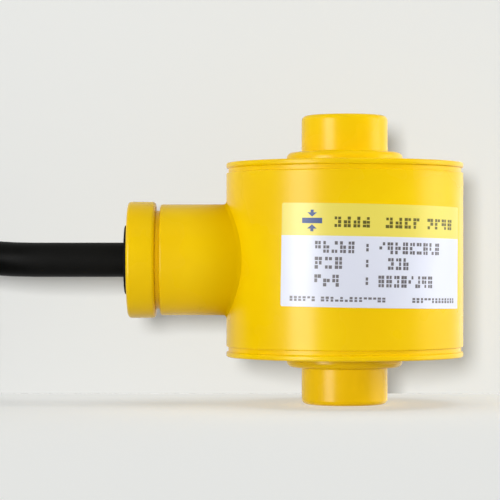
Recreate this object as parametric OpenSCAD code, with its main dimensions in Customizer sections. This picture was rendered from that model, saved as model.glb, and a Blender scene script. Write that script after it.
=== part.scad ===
// Column load cell with a side cable gland, millimetres.
// The column axis is +Z and the lower load face lies on z = 0.
// The cable port points along -X and the label faces -Y.

/* [Column] */
// Diameter of the round load boss at each end
boss_d = 20; // [16:0.5:22]
// Height of each load boss beyond its collar
boss_h = 8.6; // [5:0.1:14]
// Rounding of the load boss's outer edge
boss_edge_r = 1.3; // [0.4:0.1:2]
// Diameter of the hub that passes through each lid and shows as a collar
hub_d = 27; // [25:0.5:31]
// Height of the collar above the lid
collar_h = 2.4; // [1.6:0.1:5]
// Rounding of the collar's outer edge
collar_edge_r = 1.4; // [0.2:0.1:1.5]
// Length of each hub from the lid's outer face inwards
hub_len = 6; // [4.5:0.5:7]
// Diameter of the turned neck between the two hubs
neck_d = 16; // [15:0.5:16.5]
// Width across the four flats milled on the neck
flat_w = 12; // [11.5:0.5:13]
// Fillet between the neck and each hub
neck_fillet = 4; // [2:0.5:4]
// Round neck left between each fillet and the flats
flat_margin = 1; // [0.5:0.5:1.5]

/* [Housing] */
// Outer diameter of the housing tube and the lids
housing_d = 55; // [52:0.5:60]
// Wall of the housing tube
housing_wall = 3; // [2:0.1:4]
// Length of the housing tube
housing_len = 40.4; // [38:0.2:50]
// Chamfer on the housing tube's outer edges
housing_edge = 0.3; // [0.1:0.1:0.5]

/* [Lids] */
// Thickness of the lid's full-width lip
lip_h = 1.3; // [0.8:0.1:2]
// Rounding of the lip's outer edges
lip_edge_r = 0.35; // [0.1:0.05:0.45]
// Height of the groove between the lip and the housing tube
groove_h = 1; // [0.6:0.1:2]
// Depth of that groove
groove_depth = 0.5; // [0.2:0.1:1.5]
// Thickness of the flexible web of the lid
web_t = 0.9; // [0.6:0.1:1.4]
// Width of the stiff rings at the web's inner and outer edge
lid_ring_w = 2; // [1.2:0.1:3]
// Length of the lid's spigot inside the housing tube
spigot_len = 2; // [1:0.1:3]
// Radial clearance of the spigot in the housing tube
spigot_clear = 0.05; // [0.02:0.01:0.1]

/* [Cable port] */
// Outer diameter of the port tube
port_d = 25.8; // [24.5:0.1:26.5]
// Length of the port tube beyond the housing's wall
port_len = 15.3; // [14.5:0.1:22]
// Leg of the painted weld fillet between port tube and housing
weld_leg = 0.9; // [0.6:0.1:1.8]
// Nominal diameter of the gland cap's thread
thread_d = 20; // [19:0.5:20.5]
// Depth from the port tube's end face to its inner shoulder
thread_depth = 4.9; // [4.7:0.1:5.5]
// Bore that holds the terminal board, through port tube and housing wall
chamber_d = 15; // [14:0.5:15.5]
// Rounding of the port tube's outer end edge
port_edge_r = 0.5; // [0.1:0.1:0.8]

/* [Gland] */
// Diameter of the gland cap
cap_d = 27; // [25:0.5:30]
// Thickness of the gland cap's flange
cap_t = 6; // [4:0.2:9]
// Rounding of the gland cap's edges
cap_edge_r = 0.9; // [0.2:0.1:1.4]
// Gap that shows between the port tube and the cap's flange
cap_gap = 1; // [0.4:0.1:2]
// Diameter of the cap's neck in that gap
cap_neck_d = 23.5; // [23:0.1:24.2]
// Length of the cap's threaded spigot beyond the neck
cap_spigot_len = 4.4; // [3.6:0.1:4.5]
// Thread clearance between spigot and port tube, on the radius
thread_clear = 0.08; // [0.05:0.01:0.15]
// Section of the sealing ring under the cap's neck
ring_section = 1.3; // [1:0.05:1.4]
// Diameter of the cable seal inside the cap
seal_d = 17; // [16.6:0.1:17.4]
// Diameter of the seal's nose, which shows in the cap's mouth
seal_nose_d = 16; // [12:0.5:16]
// How far the seal's nose stands out of the cap
seal_proud = 0.8; // [0.2:0.1:1.5]
// Thickness of the cap's inner ledge that holds the seal
cap_ledge = 2.6; // [1.5:0.1:3.5]
// Clearance round the seal and the washer
seal_clear = 0.05; // [0.02:0.01:0.15]
// Thickness of the thrust washer
washer_t = 0.8; // [0.5:0.1:1.2]

/* [Cable] */
// Outer diameter of the cable jacket
cable_d = 8; // [7:0.1:8.5]
// Diameter of one insulated core
core_d = 1.2; // [0.9:0.1:1.4]
// Length of jacket that shows inside the chamber
jacket_inside = 1; // [0.5:0.1:2]
// Width of the strap that ties the hank
tie_w = 10; // [6:0.5:16]
// Thickness of that strap
tie_t = 0.8; // [0.5:0.1:1.2]
// Outer diameter of the shrink sleeve at the cable's bare end
sleeve_d = 9; // [8.6:0.1:10]
// Length of that sleeve
sleeve_len = 16; // [10:1:24]
// Stripped length of each core at the bare end
tip_len = 6; // [4:0.5:8]
// Diameter of a bare tinned strand
strand_d = 0.9; // [0.6:0.05:1]

/* [Terminal board] */
// Width of the board across the chamber
board_w = 12; // [11:0.5:13]
// Length of the board along the port
board_len = 12; // [10.5:0.5:13]
// Thickness of the board
board_t = 1.2; // [0.8:0.1:1.6]
// Distance from the thrust washer's seat to the board
board_setback = 3.5; // [3.3:0.1:4]
// Height of the solder posts above the board
post_h = 1.6; // [1:0.1:2.2]
// Diameter of a solder post
post_d = 0.9; // [0.6:0.05:1.1]
// Spacing of the posts across the board
post_pitch = 2.8; // [2.4:0.1:3]
// Distance of each row of posts from the board's end
post_inset = 1.5; // [1:0.1:2]
// Body diameter of a trimming resistor
resistor_d = 1.9; // [1.4:0.1:2.2]
// Body length of a trimming resistor
resistor_len = 5.5; // [4:0.5:7]

/* [Strain gauges] */
// Width of a gauge's backing film
gauge_w = 7; // [6:0.5:8]
// Height of a gauge's backing film
gauge_h = 9; // [8:0.5:10]
// Thickness of the backing film
film_t = 0.12; // [0.08:0.01:0.2]
// Thickness of the foil grid
foil_t = 0.06; // [0.04:0.01:0.1]
// Width of a bonded terminal strip
strip_w = 6; // [5.5:0.5:7]
// Height of a bonded terminal strip
strip_h = 2.4; // [2:0.1:3]
// Thickness of a terminal strip without its pads
strip_t = 0.3; // [0.2:0.05:0.5]
// Gap between a gauge and its terminal strip
strip_gap = 1.4; // [0.8:0.1:1.5]
// Thickness of the solder pads on a strip
pad_t = 0.2; // [0.1:0.05:0.3]
// Diameter of the bridge wires
wire_d = 0.6; // [0.4:0.05:0.7]

/* [Label] */
// Length of the label round the housing
label_w = 47.5; // [30:0.5:60]
// Height of the label
label_h = 23; // [14:0.5:27]
// Thickness of the label film
label_t = 0.15; // [0.1:0.01:0.3]
// Height of the label's tinted upper band
label_band_h = 7.2; // [3:0.2:10]
// Turn of the label's middle from -Y towards +X, in degrees
label_turn = 16.5; // [0:0.5:40]
// Height of the label's middle above the housing's middle
label_rise = 0.8; // [-2:0.1:3]
// Lean of the label, clockwise as it is read, in degrees
label_lean = 1.1; // [-2:0.1:2]

/* [Hidden] */
$fn = 96;
// Overlap of cutting tools past the face that they cut
cut = 1;

// Heights along the column, from the lower load face
lid_z = boss_h + collar_h;
tube_z = lid_z + lip_h + groove_h;
mid_z = tube_z + housing_len / 2;
top_z = 2 * mid_z;
hub_z = lid_z + hub_len;
housing_bore = housing_d - 2 * housing_wall;

// Distances along the port, from the column axis
port_u = housing_d / 2 + port_len;
shoulder_u = port_u - thread_depth;
cap_u = port_u + cap_gap;
cap_end_u = cap_u + cap_t;
ledge_u = cap_end_u - cap_ledge;
exit_u = cap_end_u + seal_proud;
washer_u = shoulder_u + washer_t;
jacket_u = shoulder_u - jacket_inside;
ring_seat_d = thread_d + 2 * ring_section;

// Board, posts and resistors in the chamber
board_u = shoulder_u - board_setback - board_len;
seat_clear = 0.05;
board_z = mid_z - sqrt(pow(chamber_d / 2, 2) - pow(board_w / 2, 2)) + seat_clear;
post_z = board_z + board_t + post_h;
inner_row_u = board_u + post_inset;
outer_row_u = board_u + board_len - post_inset;
post_rows = [-1.5, -0.5, 0.5, 1.5];
resistor_gap = (outer_row_u - inner_row_u) / 3;
resistor_end = resistor_len / 5;

// Gauges and strips on the flats, which the neck's fillets leave room for
strip_z = mid_z - gauge_h / 2 - strip_gap - strip_h / 2;
fillet_r = min(neck_fillet, strip_z - strip_h / 2 - flat_margin - hub_z);
pad_pitch = strip_w / 3;
pad_w = 0.65 * pad_pitch;
pad_x = flat_w / 2 + strip_t + pad_t;
front = -90;
back = 90;
port_side = 180;
far_side = 0;

// Bridge leads: rings round the neck, the straight stretch off a pad and the loop over a post
ring_r = neck_d / 2 + 3;
outer_ring_r = ring_r + 2;
pad_stretch = 1.2;
ring_step = 0.8;
post_loop = 1;

// Label
label_angle = 360 * label_w / (PI * housing_d);
label_z = mid_z + label_rise;

// Route of the cable from the gland's face to the hank, rounded by hand
lead_route = [
    [-exit_u, 0, 33.5], [-55, 0, 33.5], [-59, 0, 33.5], [-63, 0, 33.5], [-67, 0, 33.5],
    [-72, 0.3, 33.5], [-77, 1.2, 33.6], [-82, 2.9, 33.9], [-87, 5.3, 34.4], [-92, 8.6, 34.9],
    [-96, 12.1, 35.4], [-100, 15.4, 35.8], [-105, 18.6, 36], [-110, 21, 36], [-115, 22.5, 36],
    [-119, 23.2, 36], [-124, 23.5, 36]
];
// Route of the cable's tail on top of the hank, rounded by hand
tail_route = [
    [-100, -8.5, 44], [-100.8, -2, 44], [-103, 4.5, 44], [-107, 10.5, 44], [-112, 16, 44],
    [-117, 20.5, 44], [-122, 23, 44], [-128, 23.5, 44.2], [-134, 23.5, 44.5], [-140, 23.5, 44.5],
    [-148, 23.5, 44.5]
];

// Hank: turns lie in two columns between two round ends
hank_near_x = -124;
hank_run = 70;
hank_y = -8.5;
hank_outer_r = 36;
hank_inner_r = 20;
hank_h = 40;
tie_x = hank_near_x - hank_run / 2;

// Bare end: cores fan out on top of the hank
end_x = tail_route[10][0];
end_y = tail_route[10][1];
end_z = tail_route[10][2];
core_x = end_x - sleeve_len / 2;
core_circle = 1.5;
fan = [-9.5, -6, 0.6, 3.4];
drain_fan = -2.8;
fan_len = 34;

function unit(v) = v / norm(v);
function arc(r, from, to, n) = [for (i = [0:n]) let (a = from + (to - from) * i / n) [r * cos(a), r * sin(a)]];
function shifted(points, by) = [for (p = points) p + by];
function mirrored(points, h) = [for (i = [len(points) - 1:-1:0]) [points[i][0], h - points[i][1]]];
function tangents(p) = [for (i = [0:len(p) - 1]) unit(p[min(i + 1, len(p) - 1)] - p[max(i - 1, 0)])];
function carried(t, side, i = 0) =
    i == len(t) ? [] : let (s = unit(side - (side * t[i]) * t[i])) concat([s], carried(t, s, i + 1));
function turned(p, a) = [p[0] * cos(a) - p[1] * sin(a), p[0] * sin(a) + p[1] * cos(a), p[2]];

// Round tube along a list of points, ending square to its first and last stretch
module sweep(points, d, sides = 8) {
    t = tangents(points);
    s = carried(t, abs(t[0][2]) > 0.9 ? [0, 1, 0] : [0, 0, 1]);
    n = len(points);
    ring_points = [for (i = [0:n - 1]) for (k = [0:sides - 1])
        let (a = 360 * k / sides) points[i] + d / 2 * (cos(a) * s[i] + sin(a) * cross(t[i], s[i]))];
    walls = [for (i = [0:n - 2]) for (k = [0:sides - 1])
        let (m = (k + 1) % sides) [i * sides + k, (i + 1) * sides + k, (i + 1) * sides + m, i * sides + m]];
    first = [for (k = [0:sides - 1]) k];
    last = [for (k = [sides - 1:-1:0]) (n - 1) * sides + k];
    polyhedron(ring_points, concat(walls, [first, last]));
}

// Places its children with +Z along the port, away from the column
module along_port() {
    translate([0, 0, mid_z]) rotate([0, -90, 0]) children();
}

// Block between two corners
module block(low, high) {
    translate(low) cube(high - low);
}

// Half outline of the column's lower end: boss, collar, hub and fillet
function column_end() = concat(
    [[0, 0]],
    shifted(arc(boss_edge_r, -90, 0, 6), [boss_d / 2 - boss_edge_r, boss_edge_r]),
    [[boss_d / 2, boss_h]],
    shifted(arc(collar_edge_r, -90, 0, 6), [hub_d / 2 - collar_edge_r, boss_h + collar_edge_r]),
    [[hub_d / 2, hub_z]],
    shifted(arc(fillet_r, -90, -180, 8), [neck_d / 2 + fillet_r, hub_z + fillet_r])
);

module sensing_column() color("#F2C900") {
    flats_z = hub_z + fillet_r + flat_margin;
    difference() {
        rotate_extrude() polygon(concat(column_end(), mirrored(column_end(), top_z)));
        for (a = [0:90:270])
            rotate([0, 0, a]) block([flat_w / 2, -neck_d, flats_z], [neck_d, neck_d, top_z - flats_z]);
    }
}

module housing_tube() color("#F2C900") {
    r = housing_d / 2;
    difference() {
        translate([0, 0, tube_z]) rotate_extrude() polygon([
            [housing_bore / 2, 0], [r - housing_edge, 0], [r, housing_edge],
            [r, housing_len - housing_edge], [r - housing_edge, housing_len], [housing_bore / 2, housing_len]
        ]);
        along_port() cylinder(d = chamber_d, h = housing_d);
    }
}

// Half outline of a lid, from its outer face at 0 inwards
function lid_outline() = let (
    r = housing_d / 2, seat = lip_h + groove_h, inner = housing_bore / 2 - spigot_clear
) concat(
    [[hub_d / 2, 0]],
    shifted(arc(lip_edge_r, -90, 0, 4), [r - lip_edge_r, lip_edge_r]),
    shifted(arc(lip_edge_r, 0, 90, 4), [r - lip_edge_r, lip_h - lip_edge_r]),
    [[r - groove_depth, lip_h], [r - groove_depth, seat], [inner, seat], [inner, seat + spigot_len],
     [inner - lid_ring_w, seat + spigot_len], [inner - lid_ring_w, web_t], [hub_d / 2 + lid_ring_w, web_t],
     [hub_d / 2 + lid_ring_w, seat + spigot_len], [hub_d / 2, seat + spigot_len]]
);

module lower_diaphragm() color("#F2C900") {
    translate([0, 0, lid_z]) rotate_extrude() polygon(lid_outline());
}

module upper_diaphragm() color("#F2C900") {
    translate([0, 0, top_z - lid_z]) mirror([0, 0, 1]) rotate_extrude() polygon(lid_outline());
}

// Hollow-faced weld fillet along the saddle where the port tube meets the housing
module weld_fillet() {
    steps = 60;
    bite = 0.15;
    hollow = weld_leg * (1 - cos(45));
    R = housing_d / 2;
    r = port_d / 2;
    profile = [[r - bite, weld_leg], [r + hollow, hollow], [r + weld_leg, -bite], [r - 2 * bite, -4 * bite]];
    points = [for (i = [0:steps - 1]) let (a = 360 * i / steps) for (p = profile)
        let (y = p[0] * sin(a)) [-sqrt(R * R - y * y) - p[1], y, mid_z + p[0] * cos(a)]];
    walls = [for (i = [0:steps - 1]) for (k = [0:3])
        let (j = (i + 1) % steps, m = (k + 1) % 4) for (f = [0, 1])
            f == 0 ? [i * 4 + m, i * 4 + k, j * 4 + m] : [j * 4 + m, i * 4 + k, j * 4 + k]];
    polyhedron(points, walls);
}

module port_tube() color("#F2C900") {
    difference() {
        union() {
            along_port() rotate_extrude() polygon(concat(
                [[0, 0], [port_d / 2, 0]],
                shifted(arc(port_edge_r, 0, 90, 4), [port_d / 2 - port_edge_r, port_u - port_edge_r]),
                [[0, port_u]]
            ));
            weld_fillet();
        }
        cylinder(d = housing_d, h = top_z);
        along_port() {
            cylinder(d = chamber_d, h = port_u);
            translate([0, 0, shoulder_u]) cylinder(d = thread_d, h = thread_depth + cut);
            translate([0, 0, port_u - ring_section]) cylinder(d = ring_seat_d, h = ring_section + cut);
        }
    }
}

module gland_cap() color("#F2C900") {
    spigot_r = thread_d / 2 - thread_clear;
    bore_r = seal_d / 2 + seal_clear;
    mouth_r = seal_nose_d / 2 + seal_clear;
    along_port() rotate_extrude() polygon(concat(
        [[bore_r, port_u - cap_spigot_len], [spigot_r, port_u - cap_spigot_len],
         [spigot_r, port_u], [cap_neck_d / 2, port_u], [cap_neck_d / 2, cap_u]],
        shifted(arc(cap_edge_r, -90, 0, 5), [cap_d / 2 - cap_edge_r, cap_u + cap_edge_r]),
        shifted(arc(cap_edge_r, 0, 90, 5), [cap_d / 2 - cap_edge_r, cap_end_u - cap_edge_r]),
        [[mouth_r, cap_end_u], [mouth_r, ledge_u], [bore_r, ledge_u]]
    ));
}

module cap_sealing_ring() color("#20201F") {
    wall = ring_section - thread_clear;
    along_port() translate([0, 0, port_u - ring_section / 2]) rotate_extrude()
        translate([thread_d / 2 + ring_section / 2, 0]) circle(d = wall, $fn = 24);
}

module cable_seal() color("#1B1B1B") {
    along_port() difference() {
        union() {
            translate([0, 0, washer_u]) cylinder(d = seal_d, h = ledge_u - washer_u);
            translate([0, 0, ledge_u]) cylinder(d = seal_nose_d, h = exit_u - ledge_u);
        }
        translate([0, 0, washer_u - cut]) cylinder(d = cable_d, h = exit_u - washer_u + 2 * cut);
    }
}

module thrust_washer() color("#C9A24A") {
    along_port() translate([0, 0, shoulder_u]) difference() {
        cylinder(d = seal_d, h = washer_t);
        translate([0, 0, -cut]) cylinder(d = cable_d + 4 * seal_clear, h = washer_t + 2 * cut);
    }
}

module terminal_board() color("#2F6B3A") {
    block([-board_u - board_len, -board_w / 2, board_z], [-board_u, board_w / 2, board_z + board_t]);
}

module solder_posts() color("#D8D3C4") {
    for (u = [inner_row_u, outer_row_u], k = post_rows)
        translate([-u, k * post_pitch, board_z + board_t]) {
            cylinder(d = post_d, h = post_h, $fn = 24);
            cylinder(d = 1.6 * post_d, h = post_h / 5, $fn = 24);
        }
}

// Small axial resistor lying across the board
module resistor(u) {
    translate([-u, 0, board_z + board_t + resistor_d / 2]) rotate([90, 0, 0]) {
        cylinder(d = 0.8 * resistor_d, h = resistor_len, center = true, $fn = 32);
        for (s = [-1, 1])
            translate([0, 0, s * (resistor_len - resistor_end) / 2])
                cylinder(d = resistor_d, h = resistor_end, center = true, $fn = 32);
    }
}

module span_resistor() color("#5E86B8") resistor(inner_row_u + resistor_gap);

module zero_resistor() color("#5E86B8") resistor(outer_row_u - resistor_gap);

// Foil meander of upright lines joined at alternate ends
module meander(lines, pitch, length, line_w) {
    for (i = [0:lines - 1]) {
        side = (i - (lines - 1) / 2) * pitch - line_w / 2;
        turn_z = (i % 2 == 0 ? 1 : -1) * (length - line_w) / 2 - line_w / 2;
        translate([0, side, -length / 2]) cube([foil_t, line_w, length]);
        if (i < lines - 1) translate([0, side, turn_z]) cube([foil_t, pitch + line_w, line_w]);
    }
}

// Film gauge with one upright and one crosswise grid, bonded to the flat at angle a
module strain_gauge(a) {
    grid = 0.38 * gauge_h;
    lines = 6;
    line_w = 0.25;
    rotate([0, 0, a]) translate([flat_w / 2, 0, mid_z]) {
        translate([0, -gauge_w / 2, -gauge_h / 2]) cube([film_t, gauge_w, gauge_h]);
        translate([film_t, 0, gauge_h / 4]) meander(lines, grid / lines, grid, line_w);
        translate([film_t, 0, -gauge_h / 4]) rotate([90, 0, 0]) meander(lines, grid / lines, grid, line_w);
    }
}

module strain_gauge_front() color("#C98A3C") strain_gauge(front);
module strain_gauge_back() color("#C98A3C") strain_gauge(back);
module strain_gauge_port_side() color("#C98A3C") strain_gauge(port_side);
module strain_gauge_far_side() color("#C98A3C") strain_gauge(far_side);

// Strip with three solder pads, bonded below the gauge at angle a
module terminal_strip(a) {
    rotate([0, 0, a]) translate([flat_w / 2, 0, strip_z]) {
        translate([0, -strip_w / 2, -strip_h / 2]) cube([strip_t, strip_w, strip_h]);
        for (k = [-1:1])
            translate([strip_t, k * pad_pitch - pad_w / 2, -0.4 * strip_h]) cube([pad_t, pad_w, 0.8 * strip_h]);
    }
}

module terminal_strip_front() color("#D9C26A") terminal_strip(front);
module terminal_strip_back() color("#D9C26A") terminal_strip(back);
module terminal_strip_port_side() color("#D9C26A") terminal_strip(port_side);
module terminal_strip_far_side() color("#D9C26A") terminal_strip(far_side);

// Four wires that join the strips into a bridge, one round each corner of the neck
module bridge_jumpers() color("#A8432B") {
    wire_x = pad_x + wire_d / 2;
    clear_r = neck_d / 2 + wire_d;
    rise_r = (wire_x + clear_r) / 2 + 0.1;
    bends = [[atan2(pad_pitch, wire_x), norm([wire_x, pad_pitch])], [27, rise_r], [38, clear_r]];
    route = concat(bends, [for (i = [len(bends) - 1:-1:0]) [90 - bends[i][0], bends[i][1]]]);
    for (a = [0:90:270])
        sweep([for (b = route) [b[1] * cos(a + b[0]), b[1] * sin(a + b[0]), strip_z]], wire_d, 6);
}

// Wire from the middle pad at angle a round the neck to an inner post
module bridge_lead(a, to, r, post) {
    y = post * post_pitch;
    leave = 180 - asin(y / r);
    steps = max(1, ceil(abs(leave - to) / 15));
    reach = inner_row_u - r * cos(asin(y / r));
    sweep(concat(
        [for (x = [pad_x, pad_x + pad_stretch, r - ring_step]) turned([x, 0, strip_z], a)],
        [for (i = [1:steps]) let (b = to + (leave - to) * i / steps) [r * cos(b), r * sin(b), strip_z]],
        [[-inner_row_u + 0.6 * reach, y, strip_z + 0.3 * (post_z - strip_z)],
         [-inner_row_u + 0.2 * reach, y, post_z + post_loop],
         [-inner_row_u, y, post_z + 0.9 * post_loop], [-inner_row_u, y, post_z]]
    ), wire_d, 6);
}

module bridge_leads() color("#B9492E") {
    bridge_lead(port_side, 180, ring_r, post_rows[1]);
    bridge_lead(back, 95, ring_r, post_rows[2]);
    bridge_lead(far_side, 6, outer_ring_r, post_rows[3]);
    bridge_lead(front, 265, ring_r, post_rows[0]);
}

// Jacketed cable inside the gland
module gland_cable() color("#161616") {
    along_port() translate([0, 0, jacket_u]) cylinder(d = cable_d, h = exit_u - jacket_u);
}

// Core from the jacket's end to an outer post; k counts the posts, side is up or down
module inner_core(k, side) {
    from = [-jacket_u, (post_rows[k] > 0 ? 1 : -1) * core_circle, mid_z + side * core_circle];
    to = [-outer_row_u, post_rows[k] * post_pitch, post_z];
    way = to - from;
    over = [0, 0, core_d + to[2] - from[2]];
    along = [way[0], 0, 0];
    across = [0, way[1], 0];
    sweep([
        from,
        from + 0.2 * along,
        from + 0.5 * along + 0.5 * across + 0.6 * over,
        from + 0.82 * along + 0.92 * across + over,
        to + [0, 0, 0.55 * core_d],
        to
    ], core_d, 8);
}

module inner_core_red() color("#B3201C") inner_core(0, -1);
module inner_core_black() color("#1A1A1A") inner_core(1, 1);
module inner_core_green() color("#1F7A3D") inner_core(2, 1);
module inner_core_white() color("#E9E7E0") inner_core(3, -1);

// Part of the label's film between two heights from its middle, on the housing and leaning with the label
module label_zone(low, high) {
    r = housing_d / 2 + label_t;
    side = r * sin(label_angle / 2);
    rotate([0, 0, label_turn]) translate([0, 0, label_z]) intersection() {
        difference() {
            cylinder(r = r, h = 2 * label_h, center = true);
            cylinder(d = housing_d, h = 2 * label_h + cut, center = true);
        }
        rotate([0, label_lean, 0]) block([-side, -housing_d, low], [side, 0, high]);
    }
}

// Film label wrapped on the housing, with a tinted band along its top
module label() {
    band_low = label_h / 2 - label_band_h;
    color("#F3F1F6") label_zone(-label_h / 2, band_low);
    color("#F8EDA6") label_zone(band_low, label_h / 2);
}

// Outline of the hank at radius r round its two ends
module hank_outline(r) {
    for (x = [hank_near_x, hank_near_x - hank_run]) translate([x, hank_y]) circle(r = r);
    translate([hank_near_x - hank_run, hank_y - r]) square([hank_run, 2 * r]);
}

module cable_lead() color("#161616") {
    difference() {
        sweep([for (i = [0:2:len(lead_route) - 1]) lead_route[i]], cable_d, 12);
        linear_extrude(hank_h) hank_outline(hank_outer_r);
    }
}

module cable_hank() color("#161616") {
    difference() {
        linear_extrude(hank_h) difference() {
            hank_outline(hank_outer_r);
            hank_outline(hank_inner_r);
        }
        block([tie_x - tie_w / 2, hank_y - hank_outer_r - cut, -cut], [tie_x + tie_w / 2, hank_y, tie_t]);
    }
}

module cable_tail() color("#161616") {
    sweep([for (i = [0:2:len(tail_route) - 1]) tail_route[i]], cable_d, 12);
}

// Strap round the front run of the hank, with its end pressed down on top
module hank_tie() color("#2B2B2D") {
    low = [tie_x - tie_w / 2, hank_y - hank_outer_r, 0];
    high = [tie_x + tie_w / 2, hank_y - hank_inner_r, hank_h];
    difference() {
        block(low - [0, tie_t, 0], high + [0, tie_t, tie_t]);
        block(low + [-cut, 0, tie_t], high + [cut, 0, 0]);
    }
    block([low[0], low[1] + tie_t, high[2] + tie_t], [high[0], high[1] - tie_t, high[2] + 2 * tie_t]);
}

module end_sleeve() color("#242424") {
    translate([end_x, end_y, end_z]) rotate([0, 90, 0]) difference() {
        cylinder(d = sleeve_d, h = sleeve_len, center = true);
        cylinder(d = cable_d, h = sleeve_len + 2 * cut, center = true);
    }
}

// Points of a strand from inside the sleeve, offset from its middle, down to the hank's top at y = to
function end_route(from, to, mid_h, d) = [
    [end_x, end_y + from[0], end_z + from[1]],
    [core_x - 3, end_y + from[0], end_z + from[1]],
    [core_x - 10, end_y + 0.6 * from[0] + 0.4 * to, hank_h + d / 2 + mid_h],
    [core_x - 17, end_y + 0.2 * from[0] + 0.8 * to, hank_h + d / 2],
    [core_x - 25, end_y + to, hank_h + d / 2],
    [core_x - fan_len, end_y + to, hank_h + d / 2]
];
function core_route(k) = end_route(
    core_circle * [fan[k] > drain_fan ? 1 : -1, k % 2 == 0 ? -1 : 1], fan[k], k % 2 == 0 ? 1 : 2.6, core_d);
module end_core(k) sweep(core_route(k), core_d, 8);

module end_core_red() color("#B3201C") end_core(0);
module end_core_black() color("#1A1A1A") end_core(1);
module end_core_green() color("#1F7A3D") end_core(2);
module end_core_white() color("#E9E7E0") end_core(3);

// Bare drain strand, twisted from the cable's screen
module end_drain() color("#C9C9C6") sweep(end_route([0, 0], drain_fan, 1.8, strand_d), strand_d, 8);

// Bare strands at the tips of the four cores
module tinned_ends() color("#C9C9C6") {
    for (k = [0:3])
        let (p = core_route(k)[5], q = core_route(k)[4])
            sweep([p, p + tip_len * unit(p - q)], strand_d, 8);
}

sensing_column();
housing_tube();
upper_diaphragm();
lower_diaphragm();
port_tube();
gland_cap();
cap_sealing_ring();
cable_seal();
thrust_washer();
terminal_board();
solder_posts();
span_resistor();
zero_resistor();
strain_gauge_front();
strain_gauge_back();
strain_gauge_port_side();
strain_gauge_far_side();
terminal_strip_front();
terminal_strip_back();
terminal_strip_port_side();
terminal_strip_far_side();
bridge_jumpers();
bridge_leads();
gland_cable();
inner_core_red();
inner_core_black();
inner_core_green();
inner_core_white();
label();
cable_lead();
cable_hank();
cable_tail();
hank_tie();
end_sleeve();
end_core_red();
end_core_black();
end_core_green();
end_core_white();
end_drain();
tinned_ends();
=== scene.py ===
"""Dressed model of a column load cell: its finishes, cable, label print, lights and camera."""
import logging
import math
from dataclasses import dataclass, field
from enum import Enum

import bmesh
import bpy
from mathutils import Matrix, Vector


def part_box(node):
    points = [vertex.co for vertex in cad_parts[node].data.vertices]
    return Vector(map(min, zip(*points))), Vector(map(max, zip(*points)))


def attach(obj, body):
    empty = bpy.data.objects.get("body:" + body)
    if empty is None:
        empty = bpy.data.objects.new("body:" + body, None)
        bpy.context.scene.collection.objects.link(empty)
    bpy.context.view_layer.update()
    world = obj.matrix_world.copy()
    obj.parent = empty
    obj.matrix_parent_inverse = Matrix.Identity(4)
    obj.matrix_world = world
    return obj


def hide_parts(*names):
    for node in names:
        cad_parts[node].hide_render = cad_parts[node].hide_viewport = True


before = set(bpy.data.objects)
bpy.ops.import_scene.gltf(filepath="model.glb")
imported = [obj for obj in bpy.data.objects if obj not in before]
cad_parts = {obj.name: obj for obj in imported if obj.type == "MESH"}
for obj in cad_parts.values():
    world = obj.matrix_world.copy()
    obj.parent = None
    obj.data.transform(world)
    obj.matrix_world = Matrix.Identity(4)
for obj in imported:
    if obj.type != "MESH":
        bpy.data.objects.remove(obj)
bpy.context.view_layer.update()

log = logging.getLogger("load_cell")

MM = 0.001
BODY = "root"
Point = tuple[float, float, float]
Pair = tuple[float, float]
Colour = tuple[float, float, float]


def linear(red: int, green: int, blue: int) -> Colour:
    """Turns a display colour into the linear colour that shaders take.

    Args:
        red: red from 0 to 255.
        green: green from 0 to 255.
        blue: blue from 0 to 255.

    Returns:
        The linear colour.
    """
    def channel(value: int) -> float:
        """Linear value of one channel."""
        v = value / 255
        return v / 12.92 if v <= 0.04045 else ((v + 0.055) / 1.055) ** 2.4
    return channel(red), channel(green), channel(blue)


def metres(point: Point) -> Vector:
    """Point in metres from one in millimetres."""
    return Vector(point) * MM


def ease(t: float) -> float:
    """Smooth step from 0 to 1, flat at both ends."""
    t = min(1.0, max(0.0, t))
    return t * t * (3 - 2 * t)


def arc(centre: Pair, radius: float, start: float, end: float, steps: int) -> list[Pair]:
    """Points along a round stretch of an outline.

    Args:
        centre: the arc's centre.
        radius: the arc's radius.
        start: angle of the first point, in degrees.
        end: angle of the last point, in degrees.
        steps: number of stretches between the points.

    Returns:
        The points, first and last included.
    """
    angles = [math.radians(start + (end - start) * i / steps) for i in range(steps + 1)]
    return [(centre[0] + radius * math.cos(a), centre[1] + radius * math.sin(a)) for a in angles]


class Draft:
    """A shader or geometry node tree under construction."""

    def __init__(self, tree: bpy.types.NodeTree) -> None:
        """Keeps the tree that nodes are added to."""
        self.tree = tree

    def add(self, kind: str, inputs: dict | None = None, **settings: object) -> bpy.types.Node:
        """Adds one node.

        Args:
            kind: the node's type name.
            inputs: socket name or index to a value or to a socket that feeds it.
            **settings: the node's own properties.

        Returns:
            The new node.
        """
        node = self.tree.nodes.new(kind)
        for name, value in settings.items():
            setattr(node, name, value)
        for key, value in (inputs or {}).items():
            if isinstance(value, bpy.types.NodeSocket):
                self.tree.links.new(value, node.inputs[key])
            else:
                node.inputs[key].default_value = value
        return node

    def math(self, operation: str, *values: object) -> bpy.types.NodeSocket:
        """Adds a math node and gives its result."""
        return self.add("ShaderNodeMath", dict(enumerate(values)), operation=operation).outputs[0]

    def mix(self, factor: object, first: object, second: object) -> bpy.types.NodeSocket:
        """Adds a colour mix and gives its result."""
        node = self.add("ShaderNodeMix", {0: factor, 6: first, 7: second}, data_type="RGBA")
        return node.outputs[2]


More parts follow.
